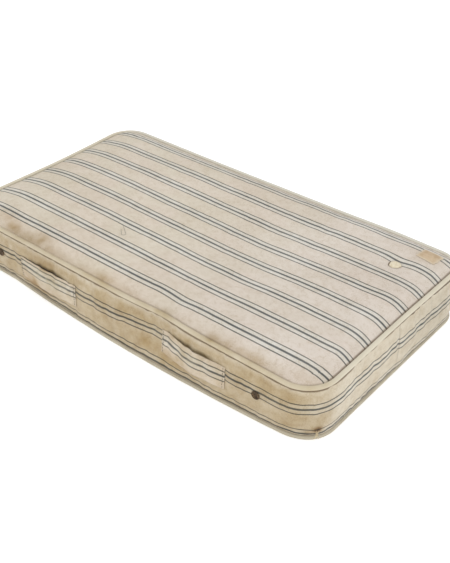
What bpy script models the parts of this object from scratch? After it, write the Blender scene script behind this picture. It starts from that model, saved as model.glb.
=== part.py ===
"""An old cot mattress in blue-striped ticking, lying flat.

The filled ticking case is one solid with a crowned top, a bowed border and a flat underside.
A corded welt runs round its top seam and another round its bottom seam.
Two slack ticking straps and two round metal ventilators sit on the front border.
A tuft pad and a plain worn patch sit on the top. Metres, +Z up, front border towards -Y.
"""

import math

import bmesh
import bpy
import numpy as np
from mathutils import Vector
from mathutils.bvhtree import BVHTree

# Driving sizes, in metres
LENGTH = 1.366
WIDTH = 0.745
SEAM_HEIGHT = 0.1655
PLATEAU_HEIGHT = 0.192
GAP = 0.0005

# The part's origin is the middle of its bounding box, straps included, at floor level
ORIGIN_SHIFT = Vector((-0.00029, 0.00305, 0.0))

# Corners in plan, anticlockwise from the front right one
CORNERS = (
    {"x": 1, "y": -1, "radius": 0.092},
    {"x": 1, "y": 1, "radius": 0.080},
    {"x": -1, "y": 1, "radius": 0.090},
    {"x": -1, "y": -1, "radius": 0.092},
)

# Where the top seam is drawn in or eased out: side, place along it, spread, distance outwards
SEAM_FORMS = (
    {"side": "front", "along": 0.180, "spread": 0.085, "out": -0.0070},
    {"side": "back", "along": 0.430, "spread": 0.120, "out": 0.0045},
    {"side": "back", "along": -0.240, "spread": 0.300, "out": -0.0030},
    {"side": "right", "along": 0.020, "spread": 0.160, "out": -0.0020},
    {"side": "left", "along": 0.040, "spread": 0.230, "out": -0.0098},
)

# Welts: corded rolls sewn round the top and the bottom seam
WELT_HALF_WIDTH = 0.0065
WELT_HALF_HEIGHT = 0.0060
WELT_PROUD = 0.0030
WELT_SIDES = 8
WELT_FLATNESS = 2.6

# Border: how far the cloth stands out between its seams
BORDER_BULGE = 0.0065
END_BULGE = 0.0045
BOW_DEPTH = 0.0164
BOW_CENTRE_X = 0.089
BOW_HALF_LENGTH = 0.46
BOW_LOWEST = -0.35
FRONT_FORMS = (
    {"along": 0.147, "spread": 0.115, "out": -0.0205},
    {"along": -0.470, "spread": 0.120, "out": 0.0030},
)

# Top panel: how far in from the welt it rolls over to the flat
LEFT_ROLL = 0.165
RIGHT_ROLL = 0.088
SIDE_ROLL = 0.075
CORNER_BLEND = 4.0
ROLL_POWER = 2.4

# Rows round the case: segments on the long sides, the short sides and each corner
LONG_SEGMENTS = 32
SHORT_SEGMENTS = 18
CORNER_SEGMENTS = 6
CROWDING = 0.42
BORDER_ROWS = 7
PANEL_INSETS = (0.0, 0.016, 0.036)

# Soft hollows and rises of the top: centre x, centre y, spread in x, spread in y, height
TOP_FORMS = (
    {"x": 0.167, "y": -0.020, "spread_x": 0.210, "spread_y": 0.260, "height": -0.0095},
    {"x": -0.383, "y": 0.020, "spread_x": 0.170, "spread_y": 0.220, "height": 0.0015},
    {"x": 0.437, "y": -0.060, "spread_x": 0.130, "spread_y": 0.200, "height": 0.0020},
    {"x": 0.193, "y": -0.292, "spread_x": 0.045, "spread_y": 0.032, "height": -0.0065},
    {"x": 0.543, "y": 0.208, "spread_x": 0.040, "spread_y": 0.034, "height": -0.0075},
    {"x": -0.172, "y": -0.155, "spread_x": 0.050, "spread_y": 0.045, "height": -0.0025},
)

# Carrying straps of ticking, sewn to the front border by their ends
STRAP_WIDTH = 0.070
STRAP_THICKNESS = 0.0025
STRAP_SEWN_END = 0.022
STRAP_LIFT = 0.0012
STRAP_LOW_SLACK_SHARE = 0.88
STRAP_SWELL_POWER = 1.1
STRAP_STATIONS = 24
STRAP_ROWS = 4
STRAPS = (
    {"name": "handle_strap_left", "from_x": -0.381, "to_x": -0.142, "height": 0.0880, "slack": 0.0100},
    {"name": "handle_strap_right", "from_x": 0.187, "to_x": 0.414, "height": 0.0925, "slack": 0.0115},
)

# Ventilators: turned metal discs with a rolled rim and a pierced middle
VENT_RADIUS = 0.0125
VENT_RIM_HEIGHT = 0.0034
VENT_FACE_HEIGHT = 0.0020
VENT_SEGMENTS = 32
VENT_HOLE_RADIUS = 0.0013
VENT_HOLE_CIRCLE = 0.0049
VENT_HOLES = 6
VENT_HOLE_SEGMENTS = 8
VENTS = (
    {"name": "vent_left", "x": -0.4795, "z": 0.0945},
    {"name": "vent_right", "x": 0.5135, "z": 0.0935},
)

# Tuft pad and patch on the top
TUFT_X = 0.543
TUFT_Y = 0.208
TUFT_RADIUS = 0.0170
TUFT_THICKNESS = 0.0085
TUFT_RINGS = 4
TUFT_SEGMENTS = 20
PATCH_X = 0.5985
PATCH_Y = 0.302
PATCH_LENGTH = 0.062
PATCH_WIDTH = 0.050
PATCH_TURN = math.radians(-4)
PATCH_THICKNESS = 0.0012
PATCH_LIFT = 0.0011
PATCH_COLUMNS = 10
PATCH_ROWS = 8

HALF_LENGTH = LENGTH / 2
HALF_WIDTH = WIDTH / 2
WELT_INSET = WELT_HALF_WIDTH - WELT_PROUD
PANEL_INSET = WELT_INSET + WELT_HALF_WIDTH + GAP
PANEL_HALF_LENGTH = HALF_LENGTH - PANEL_INSET
PANEL_HALF_WIDTH = HALF_WIDTH - PANEL_INSET
TOP_WELT_HEIGHT = SEAM_HEIGHT + WELT_HALF_HEIGHT
BOTTOM_WELT_HEIGHT = WELT_HALF_HEIGHT
PANEL_EDGE_HEIGHT = TOP_WELT_HEIGHT + 0.0005
BORDER_TOP = SEAM_HEIGHT - GAP
BORDER_BOTTOM = 2 * WELT_HALF_HEIGHT + GAP
BORDER_HEIGHT = BORDER_TOP - BORDER_BOTTOM


def clear_scene():
    for thing in list(bpy.data.objects):
        bpy.data.objects.remove(thing, do_unlink=True)


def material(name, colour, roughness, metallic=0.0):
    made = bpy.data.materials.new(name)
    made.use_nodes = True
    shader = made.node_tree.nodes["Principled BSDF"]
    shader.inputs["Base Color"].default_value = (*colour, 1.0)
    shader.inputs["Roughness"].default_value = roughness
    shader.inputs["Metallic"].default_value = metallic
    return made


def add_object(name, vertices, faces, finish, sharp_angle=math.radians(40)):
    """One closed body with its faces turned outwards and smooth round forms."""
    mesh = bpy.data.meshes.new(name)
    mesh.from_pydata([tuple(v) for v in vertices], [], faces)
    shape = bmesh.new()
    shape.from_mesh(mesh)
    bmesh.ops.recalc_face_normals(shape, faces=shape.faces)
    shape.to_mesh(mesh)
    shape.free()
    mesh.materials.append(finish)
    mesh.shade_smooth()
    mesh.set_sharp_from_angle(angle=sharp_angle)
    made = bpy.data.objects.new(name, mesh)
    bpy.context.scene.collection.objects.link(made)
    return made


def crowded(half, count):
    """count places from -half up to half, closer together towards both ends, the last left out."""
    t = np.linspace(-1.0, 1.0, count + 1)[:-1]
    return half * (t + CROWDING * np.sin(math.pi * t) / math.pi)


def outline():
    """The seam line in plan before it is drawn in, anticlockwise from the middle of the front left corner.

    Returns the points and their outward directions, one row for each.
    """
    points = []
    normals = []
    for index, corner in enumerate(CORNERS):
        before = CORNERS[index - 1]
        turn = math.radians(90 * (index - 1))
        out = np.array((math.cos(turn), math.sin(turn)))
        along = np.array((-out[1], out[0]))
        long_side = index % 2 == 0
        reach = HALF_WIDTH if long_side else HALF_LENGTH
        half = HALF_LENGTH if long_side else HALF_WIDTH
        start = before["radius"] - half
        end = half - corner["radius"]
        count = LONG_SEGMENTS if long_side else SHORT_SEGMENTS
        for step in crowded((end - start) / 2, count):
            points.append(out * reach + along * (step + (start + end) / 2))
            normals.append(out)
        middle = np.array((corner["x"] * HALF_LENGTH, corner["y"] * HALF_WIDTH))
        middle -= np.array((corner["x"], corner["y"])) * corner["radius"]
        for k in range(CORNER_SEGMENTS):
            angle = turn + math.radians(90 * k / CORNER_SEGMENTS)
            out_here = np.array((math.cos(angle), math.sin(angle)))
            points.append(middle + out_here * corner["radius"])
            normals.append(out_here)
    first = len(points) - CORNER_SEGMENTS // 2
    return np.roll(points, -first, axis=0), np.roll(normals, -first, axis=0)


def eased(forms, along):
    """Sum of soft bell-shaped forms at a place along a side."""
    total = np.zeros_like(along)
    for form in forms:
        total = total + form["out"] * np.exp(-(((along - form["along"]) / form["spread"]) ** 2))
    return total


def side_shift(side, along):
    return eased([form for form in SEAM_FORMS if form["side"] == side], along)


def seam_shift(points, normals):
    """How far the top seam lies outside its plain outline."""
    x, y = points.T
    long_shift = np.where(normals[:, 1] < 0, side_shift("front", x), side_shift("back", x))
    end_shift = np.where(normals[:, 0] < 0, side_shift("left", y), side_shift("right", y))
    return normals[:, 1] ** 2 * long_shift + normals[:, 0] ** 2 * end_shift


def stand_out(points, normals, share):
    """How far the border stands outside the plain outline at a share of its height, 0 at the bottom."""
    x = points[:, 0]
    long_side = normals[:, 1] ** 2
    bow = BOW_DEPTH * np.clip(1 - ((x - BOW_CENTRE_X) / BOW_HALF_LENGTH) ** 2, BOW_LOWEST, 1)
    front = normals[:, 1] < 0
    bulge = BORDER_BULGE + eased(FRONT_FORMS, x) * front
    bulge = long_side * bulge + (1 - long_side) * END_BULGE
    sloped = long_side * bow * (1 - share) + seam_shift(points, normals) * share
    return bulge * math.sin(math.pi * share) + sloped


def top_height(x, y):
    """Height of the top panel: rolled over at its edges, nearly level inside, with its soft forms."""
    half_x = PANEL_HALF_LENGTH + np.where(x < 0, side_shift("left", y), side_shift("right", y))
    half_y = PANEL_HALF_WIDTH + np.where(y < 0, side_shift("front", x), side_shift("back", x))
    in_x = np.clip((half_x - np.abs(x)) / np.where(x < 0, LEFT_ROLL, RIGHT_ROLL), 0, 1)
    in_y = np.clip((half_y - np.abs(y)) / SIDE_ROLL, 0, 1)
    edge = ((1 - in_x) ** CORNER_BLEND + (1 - in_y) ** CORNER_BLEND) ** (1 / CORNER_BLEND)
    rise = 1 - np.clip(edge, 0, 1) ** ROLL_POWER
    height = PANEL_EDGE_HEIGHT + (PLATEAU_HEIGHT - PANEL_EDGE_HEIGHT) * rise
    for form in TOP_FORMS:
        far = ((x - form["x"]) / form["spread_x"]) ** 2 + ((y - form["y"]) / form["spread_y"]) ** 2
        height = height + form["height"] * np.exp(-far) * np.clip(rise * 1.6, 0, 1)
    return height


def ring(points, normals, inset, height, out=0.0):
    plan = points + normals * (np.asarray(out).reshape(-1, 1) - inset)
    return np.column_stack((plan, np.full(len(plan), 0.0) + height))


def panel_ring(points, normals, inset):
    shift = seam_shift(points, normals).reshape(-1, 1)
    plan = points + normals * (shift - PANEL_INSET - inset)
    return np.column_stack((plan, top_height(plan[:, 0], plan[:, 1])))


def panel_grid(edge, columns, rows):
    """The panel inside its last ring: each point blended from the four sides of that ring."""
    front = edge[: columns + 1]
    right = edge[columns : columns + rows + 1]
    back = edge[columns + rows : 2 * columns + rows + 1][::-1]
    left = np.vstack((edge[2 * columns + rows :], edge[:1]))[::-1]
    u = np.linspace(0, 1, columns + 1)[:, None, None]
    v = np.linspace(0, 1, rows + 1)[None, :, None]
    across = (1 - v) * front[:, None] + v * back[:, None]
    along = (1 - u) * left[None] + u * right[None]
    corners = (1 - u) * (1 - v) * front[0] + u * (1 - v) * front[-1]
    corners = corners + (1 - u) * v * back[0] + u * v * back[-1]
    grid = across + along - corners
    grid[..., 2] = top_height(grid[..., 0], grid[..., 1])
    return grid


def case_body(points, normals, finish):
    """The filled ticking case: flat underside, bowed border, a ledge under each welt, crowned top."""
    count = len(points)
    under_welt = stand_out(points, normals, 0.0)
    rings = [ring(points, normals, PANEL_INSET + 0.004, 0.0, under_welt)]
    rings.append(ring(points, normals, PANEL_INSET, 0.0025, under_welt))
    rings.append(ring(points, normals, PANEL_INSET, BORDER_BOTTOM, under_welt))
    for k in range(BORDER_ROWS + 1):
        share = k / BORDER_ROWS
        height = BORDER_BOTTOM + BORDER_HEIGHT * share
        rings.append(ring(points, normals, 0.0, height, stand_out(points, normals, share)))
    rings.append(ring(points, normals, PANEL_INSET, BORDER_TOP, stand_out(points, normals, 1.0)))
    rings.extend(panel_ring(points, normals, inset) for inset in PANEL_INSETS)
    columns = LONG_SEGMENTS + CORNER_SEGMENTS
    rows = SHORT_SEGMENTS + CORNER_SEGMENTS
    grid = panel_grid(rings[-1], columns, rows)
    vertices = np.vstack(rings + [grid[1:-1, 1:-1].reshape(-1, 3)])
    faces = [tuple(range(count))[::-1]]
    for level in range(len(rings) - 1):
        for k in range(count):
            after = (k + 1) % count
            low = level * count
            high = low + count
            faces.append((low + k, low + after, high + after, high + k))
    last = (len(rings) - 1) * count
    inner = len(rings) * count

    def corner(i, j):
        if j == 0:
            return last + i
        if i == columns:
            return last + columns + j
        if j == rows:
            return last + 2 * columns + rows - i
        if i == 0:
            return last + (2 * columns + 2 * rows - j) % count
        return inner + (i - 1) * (rows - 1) + j - 1

    for i in range(columns):
        for j in range(rows):
            faces.append((corner(i, j), corner(i + 1, j), corner(i + 1, j + 1), corner(i, j + 1)))
    return add_object("ticking_case", vertices, faces, finish)


def welt(name, points, normals, height, out, finish):
    """A corded roll following the seam, an oval in section, level where it meets the floor."""
    count = len(points)
    loops = []
    for k in range(WELT_SIDES):
        angle = 2 * math.pi * (k + 0.5) / WELT_SIDES
        power = 2 / WELT_FLATNESS
        side = math.copysign(abs(math.cos(angle)) ** power, math.cos(angle))
        rise = math.copysign(abs(math.sin(angle)) ** power, math.sin(angle))
        lift = rise / abs(math.sin(math.pi * (WELT_SIDES / 4 + 0.5) / (WELT_SIDES / 2))) ** power
        lift = max(-1.0, min(1.0, lift))
        loops.append(
            ring(points, normals, WELT_INSET - side * WELT_HALF_WIDTH, height + lift * WELT_HALF_HEIGHT, out)
        )
    faces = []
    for k in range(WELT_SIDES):
        above = (k + 1) % WELT_SIDES
        for i in range(count):
            after = (i + 1) % count
            faces.append((k * count + i, k * count + after, above * count + after, above * count + i))
    return add_object(name, np.vstack(loops), faces, finish, math.radians(60))


def face_finders(case):
    """Two functions that find the case's own faces: height over a place in plan, y in front of x and z."""
    mesh = case.data
    tree = BVHTree.FromPolygons([v.co.copy() for v in mesh.vertices], [tuple(p.vertices) for p in mesh.polygons])

    def top(x, y):
        return tree.ray_cast(Vector((x, y, 1.0)), Vector((0, 0, -1)))[0].z

    def front(x, z):
        return tree.ray_cast(Vector((x, -1.0, z)), Vector((0, 1, 0)))[0].y

    return top, front


def front_tilt(front, x, z):
    """Outward direction of the front border at x and height z."""
    step = 0.008
    along = Vector((2 * step, front(x + step, z) - front(x - step, z), 0))
    up = Vector((0, front(x, z + step) - front(x, z - step), 2 * step))
    return along.cross(up).normalized()


def strap(spec, front, finish):
    """A flat strap sewn by its ends, slack between them, more at its upper edge than its lower."""
    from_x = spec["from_x"]
    to_x = spec["to_x"]
    free = (to_x - from_x) - 2 * STRAP_SEWN_END
    low = spec["height"] - STRAP_WIDTH / 2
    inner = []
    outer = []
    for i in range(STRAP_STATIONS + 1):
        x = from_x + (to_x - from_x) * i / STRAP_STATIONS
        share = min(1.0, max(0.0, (x - from_x - STRAP_SEWN_END) / free))
        swell = math.sin(math.pi * share) ** STRAP_SWELL_POWER
        for j in range(STRAP_ROWS + 1):
            up = j / STRAP_ROWS
            z = low + STRAP_WIDTH * up
            slack = spec["slack"] * (STRAP_LOW_SLACK_SHARE + (1 - STRAP_LOW_SLACK_SHARE) * up)
            y = front(x, z) - STRAP_LIFT - slack * swell
            inner.append((x, y, z))
            outer.append((x, y - STRAP_THICKNESS, z))
    return sheet_object(spec["name"], inner, outer, STRAP_STATIONS, STRAP_ROWS, finish)


def sheet_object(name, inner, outer, columns, rows, finish):
    """A closed sheet between two grids of the same size."""
    count = (columns + 1) * (rows + 1)
    faces = []
    for i in range(columns):
        for j in range(rows):
            a = i * (rows + 1) + j
            b = a + rows + 1
            faces.append((a, a + 1, b + 1, b))
            faces.append((count + a, count + b, count + b + 1, count + a + 1))
    rim = [i * (rows + 1) for i in range(columns + 1)]
    rim += [columns * (rows + 1) + j for j in range(1, rows + 1)]
    rim += [i * (rows + 1) + rows for i in range(columns - 1, -1, -1)]
    rim += [j for j in range(rows - 1, 0, -1)]
    for k, here in enumerate(rim):
        after = rim[(k + 1) % len(rim)]
        faces.append((here, after, count + after, count + here))
    return add_object(name, inner + outer, faces, finish)


def vent(spec, front, finish):
    """A turned disc with a rolled rim, its middle pierced by a ring of holes round one hole."""
    profile = (
        (VENT_RADIUS * 0.93, 0.0),
        (VENT_RADIUS, VENT_RIM_HEIGHT * 0.35),
        (VENT_RADIUS * 0.985, VENT_RIM_HEIGHT * 0.75),
        (VENT_RADIUS * 0.90, VENT_RIM_HEIGHT),
        (VENT_RADIUS * 0.77, VENT_RIM_HEIGHT * 0.93),
        (VENT_RADIUS * 0.70, VENT_FACE_HEIGHT),
    )
    vertices = []
    for radius, height in profile:
        for k in range(VENT_SEGMENTS):
            angle = 2 * math.pi * k / VENT_SEGMENTS
            vertices.append((radius * math.cos(angle), radius * math.sin(angle), height))
    faces = [tuple(range(VENT_SEGMENTS))[::-1]]
    for level in range(len(profile) - 1):
        for k in range(VENT_SEGMENTS):
            after = (k + 1) % VENT_SEGMENTS
            low = level * VENT_SEGMENTS
            high = low + VENT_SEGMENTS
            faces.append((low + k, low + after, high + after, high + k))
    top = (len(profile) - 1) * VENT_SEGMENTS
    faces.append(tuple(range(top, top + VENT_SEGMENTS)))
    disc = add_object(spec["name"], vertices, faces, finish)
    for k in range(VENT_HOLES + 1):
        angle = 2 * math.pi * k / VENT_HOLES
        reach = VENT_HOLE_CIRCLE if k < VENT_HOLES else 0.0
        pierce(disc, reach * math.cos(angle), reach * math.sin(angle))
    out = front_tilt(front, spec["x"], spec["z"])
    place = Vector((spec["x"], front(spec["x"], spec["z"]), spec["z"]))
    disc.rotation_mode = "QUATERNION"
    disc.rotation_quaternion = out.to_track_quat("Z", "Y")
    disc.location = place + out * GAP * 1.6
    return disc


def pierce(disc, x, y):
    """A small round hole straight through the disc."""
    mesh = bpy.data.meshes.new("hole")
    shape = bmesh.new()
    bmesh.ops.create_cone(
        shape,
        cap_ends=True,
        segments=VENT_HOLE_SEGMENTS,
        radius1=VENT_HOLE_RADIUS,
        radius2=VENT_HOLE_RADIUS,
        depth=VENT_RIM_HEIGHT * 3,
    )
    shape.to_mesh(mesh)
    shape.free()
    cutter = bpy.data.objects.new("hole_guide", mesh)
    bpy.context.scene.collection.objects.link(cutter)
    cutter.parent = disc
    cutter.location = (x, y, 0)
    cutter.hide_render = True
    cutter.display_type = "WIRE"
    cut = disc.modifiers.new("hole", "BOOLEAN")
    cut.operation = "DIFFERENCE"
    cut.solver = "EXACT"
    cut.object = cutter


def tuft_pad(top, finish):
    """A thick round pad whose underside follows its hollow, its top domed with a soft brim."""
    rings = [(TUFT_RADIUS * k / TUFT_RINGS, k / TUFT_RINGS) for k in range(1, TUFT_RINGS + 1)]
    low = [(TUFT_X, TUFT_Y, top(TUFT_X, TUFT_Y) + GAP * 2)]
    seat = low[0][2]
    high = [(TUFT_X, TUFT_Y, seat + TUFT_THICKNESS)]
    for radius, share in rings:
        for k in range(TUFT_SEGMENTS):
            angle = 2 * math.pi * k / TUFT_SEGMENTS
            x = TUFT_X + radius * math.cos(angle)
            y = TUFT_Y + radius * math.sin(angle)
            base = top(x, y) + GAP * 2
            dome = TUFT_THICKNESS * (1 - 0.72 * share**3.5)
            low.append((x, y, base))
            high.append((x, y, max(base + 0.0012, seat + dome)))
    count = len(low)
    faces = []
    for k in range(TUFT_SEGMENTS):
        after = (k + 1) % TUFT_SEGMENTS
        faces.append((0, 1 + after, 1 + k))
        faces.append((count, count + 1 + k, count + 1 + after))
        for level in range(TUFT_RINGS - 1):
            a = 1 + level * TUFT_SEGMENTS
            b = a + TUFT_SEGMENTS
            faces.append((a + k, a + after, b + after, b + k))
            faces.append((count + a + k, count + b + k, count + b + after, count + a + after))
        rim = 1 + (TUFT_RINGS - 1) * TUFT_SEGMENTS
        faces.append((rim + k, rim + after, count + rim + after, count + rim + k))
    return add_object("tuft_pad", low + high, faces, finish, math.radians(60))


def patch(top, finish):
    """A thin plain patch lying on the top panel near its far right corner."""
    inner = []
    outer = []
    for i in range(PATCH_COLUMNS + 1):
        along = PATCH_LENGTH * (i / PATCH_COLUMNS - 0.5)
        for j in range(PATCH_ROWS + 1):
            across = PATCH_WIDTH * (j / PATCH_ROWS - 0.5)
            x = PATCH_X + along * math.cos(PATCH_TURN) - across * math.sin(PATCH_TURN)
            y = PATCH_Y + along * math.sin(PATCH_TURN) + across * math.cos(PATCH_TURN)
            z = top(x, y) + PATCH_LIFT
            inner.append((x, y, z))
            outer.append((x, y, z + PATCH_THICKNESS))
    return sheet_object("sewn_patch", inner, outer, PATCH_COLUMNS, PATCH_ROWS, finish)


def main():
    clear_scene()
    ticking = material("ticking", (0.67, 0.59, 0.46), 0.92)
    strap_cloth = material("strap_ticking", (0.66, 0.58, 0.45), 0.92)
    welt_cloth = material("welt_cloth", (0.66, 0.60, 0.47), 0.9)
    brass = material("dull_brass", (0.16, 0.12, 0.08), 0.5, 0.85)
    cotton = material("cotton_felt", (0.72, 0.64, 0.49), 0.95)
    label_cloth = material("patch_cloth", (0.50, 0.38, 0.27), 0.93)
    points, normals = outline()
    case = case_body(points, normals, ticking)
    welt("top_welt", points, normals, TOP_WELT_HEIGHT, stand_out(points, normals, 1.0), welt_cloth)
    welt("bottom_welt", points, normals, BOTTOM_WELT_HEIGHT, stand_out(points, normals, 0.0), welt_cloth)
    top, front = face_finders(case)
    for spec in STRAPS:
        strap(spec, front, strap_cloth)
    for spec in VENTS:
        vent(spec, front, brass)
    tuft_pad(top, cotton)
    patch(top, label_cloth)
    for made in bpy.data.objects:
        if made.parent is None:
            made.location = made.location + ORIGIN_SHIFT


main()
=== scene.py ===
"""The old mattress dressed for its picture: ticking, welts, straps, ventilators, tuft, patch, stains and
painted shade.

The filled case follows the same forms as the CAD solid, on a fine grid that a cloth simulation puckers.
Its stripes are a measure across the cloth, kept in the mesh, so they bend wherever the cloth does.
Metres, +Z up, front border towards -Y.
"""

import math

import bmesh
import bpy
import numpy as np
from mathutils import Matrix, Vector
from mathutils.bvhtree import BVHTree


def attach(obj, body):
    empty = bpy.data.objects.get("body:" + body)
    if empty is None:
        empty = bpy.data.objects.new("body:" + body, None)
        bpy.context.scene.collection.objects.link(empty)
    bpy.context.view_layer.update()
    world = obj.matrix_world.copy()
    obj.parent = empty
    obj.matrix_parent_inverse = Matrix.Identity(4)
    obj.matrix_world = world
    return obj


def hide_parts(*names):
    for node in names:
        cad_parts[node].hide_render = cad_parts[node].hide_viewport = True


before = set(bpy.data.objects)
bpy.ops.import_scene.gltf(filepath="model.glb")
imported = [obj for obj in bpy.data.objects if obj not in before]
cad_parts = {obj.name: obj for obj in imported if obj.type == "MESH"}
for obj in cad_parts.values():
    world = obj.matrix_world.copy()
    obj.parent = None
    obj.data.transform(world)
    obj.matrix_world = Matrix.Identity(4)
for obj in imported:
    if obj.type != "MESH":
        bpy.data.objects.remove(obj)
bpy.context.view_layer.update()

# The form of the case, as in the CAD model: seam line, welts, border and crown
LENGTH = 1.366
WIDTH = 0.745
SEAM_HEIGHT = 0.1655
PLATEAU_HEIGHT = 0.192
GAP = 0.0005
ORIGIN_SHIFT = np.array((-0.00029, 0.00305, 0.0))

# Corners in plan, anticlockwise from the front right one: side in x, side in y, radius
CORNERS = (
    (1, -1, 0.092),
    (1, 1, 0.080),
    (-1, 1, 0.090),
    (-1, -1, 0.092),
)

# Where the top seam is drawn in or eased out, on each side: place along it, spread, distance outwards
SEAM_FORMS = {
    "front": ((0.180, 0.085, -0.0070),),
    "back": ((0.430, 0.120, 0.0045), (-0.240, 0.300, -0.0030)),
    "right": ((0.020, 0.160, -0.0020),),
    "left": ((0.040, 0.230, -0.0098),),
}

WELT_HALF_WIDTH = 0.0065
WELT_HALF_HEIGHT = 0.0060
WELT_PROUD = 0.0030
WELT_SIDES = 12
WELT_SQUARENESS = 0.85

# The border: its bulge, the bow of its long sides towards the floor, and soft forms of the front
BORDER_BULGE = 0.0065
END_BULGE = 0.0045
BOW_DEPTH = 0.0164
BOW_CENTRE_X = 0.089
BOW_HALF_LENGTH = 0.46
BOW_LOWEST = -0.35
FRONT_FORMS = (
    (0.147, 0.115, -0.0205),
    (-0.470, 0.120, 0.0030),
)

# How far in from each edge the top panel rolls over
LEFT_ROLL = 0.165
RIGHT_ROLL = 0.088
SIDE_ROLL = 0.075
CORNER_BLEND = 4.0
ROLL_POWER = 2.4

# Soft forms of the top: centre, spreads and height
TOP_FORMS = (
    (0.167, -0.02, 0.21, 0.26, -0.0095),
    (-0.383, 0.02, 0.17, 0.22, 0.0015),
    (0.437, -0.06, 0.13, 0.2, 0.002),
    (0.193, -0.292, 0.045, 0.032, -0.0065),
    (0.543, 0.208, 0.04, 0.034, -0.0075),
    (-0.172, -0.155, 0.05, 0.045, -0.0025),
)

# Grid of the case, in cells of about 9 mm
LONG_SEGMENTS = 124
SHORT_SEGMENTS = 60
CORNER_SEGMENTS = 14
BORDER_ROWS = 16
PANEL_INSETS = (0.0, 0.004, 0.011, 0.019, 0.028)
UNDER_INSETS = (0.030, 0.004)
TUCK = 0.004

# Ticking: groups of a thick line between two thin ones, and the middle of one group on the top and the border
STRIPE_PITCH = 0.0884
TOP_GROUP_Y = 0.0555
BORDER_GROUP_Z = 0.0990
THIN_LINE_OFFSET = 0.0157
THICK_LINE_HALF = 0.0032
THIN_LINE_HALF = 0.0018

# How far the stripes wander sideways on the top: centre, spreads and shift
STRIPE_DRIFTS = (
    (0.36, 0.33, 0.3, 0.06, 0.01),
    (-0.44, 0.33, 0.25, 0.06, -0.006),
    (-0.11, 0.00, 0.14, 0.16, -0.004),
    (0.69, 0.2, 0.035, 0.12, -0.008),
    (0.69, -0.08, 0.035, 0.1, -0.008),
    (0.64, -0.21, 0.03, 0.04, 0.006),
    (0.62, 0.06, 0.06, 0.04, 0.005),
    (0.543, 0.23, 0.03, 0.03, -0.004),
    (-0.1, -0.16, 0.6, 0.09, 0.003),
    (0.14, -0.3, 0.09, 0.06, 0.005),
    (-0.3, -0.25, 0.3, 0.1, -0.002),
)

# Carrying straps: ends along the border, height of the middle line, how far they stand off
STRAP_WIDTH = 0.070
STRAP_THICKNESS = 0.0020
STRAP_SEWN_END = 0.022
STRAP_LIFT = 0.0012
STRAP_LOW_SLACK_SHARE = 0.88
STRAP_SWELL_POWER = 1.1
STRAP_FLATNESS = 0.82
STRAP_TOP_PULL = 0.62
STRAP_BORDER_SHARE = 0.45
STRAP_SOIL = 0.50
STRAP_COLUMNS = 96
STRAP_ROWS = 26
STRAPS = (
    {"name": "carrying_strap_left", "node": "handle_strap_left", "from_x": -0.381, "to_x": -0.142,
     "height": 0.0880, "slack": 0.0100, "fan": -1, "worn": 0.9, "flat": (0.245, 0.070)},
    {"name": "carrying_strap_right", "node": "handle_strap_right", "from_x": 0.187, "to_x": 0.414,
     "height": 0.0925, "slack": 0.0115, "fan": 1, "worn": 0.35, "flat": (0.235, 0.070)},
)
STITCH_INSET = 0.0055
STITCH_LENGTH = 0.0062
STITCH_GAP = 0.0022
STITCH_RADIUS = 0.00070
STITCH_SINK = 0.0004
STITCH_ARCH = 0.0009

# A grey thread caught in the top: where its narrow loop starts and ends, and half the loop's width
LOOP_START = np.array((-0.1916, -0.144))
LOOP_END = np.array((-0.150, -0.173))
LOOP_HALF_WIDTH = 0.0065
LOOP_REACH = 0.92
LOOP_RADIUS = 0.0006

# Tuft and patch on the top
TUFT_X = 0.543
TUFT_Y = 0.208
TUFT_RADIUS = 0.0168
TUFT_THICKNESS = 0.0078
TUFT_DIMPLE = 0.0030
TUFT_RINGS = 14
TUFT_SIDES = 48
SHEET_CLEARANCE = 0.0006
PATCH_X = 0.5985
PATCH_Y = 0.302
PATCH_LENGTH = 0.062
PATCH_WIDTH = 0.050
PATCH_TURN = math.radians(-4)
PATCH_THICKNESS = 0.0012
PATCH_COLUMNS = 42
PATCH_ROWS = 34

# Joint in the right end's border strip, and the torn place in the bottom seam near the front right corner
JOINT_Y = 0.0125
JOINT_JOG = 0.0058
TEAR = np.array((0.667, -0.333, 0.034))
FRAYED_THREADS = 7
FRAYED_RADIUS = 0.0005
OUT_AT_TEAR = np.array((0.78, -0.62, 0.0))
ALONG_AT_TEAR = np.array((0.62, 0.78, 0.0))
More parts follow.
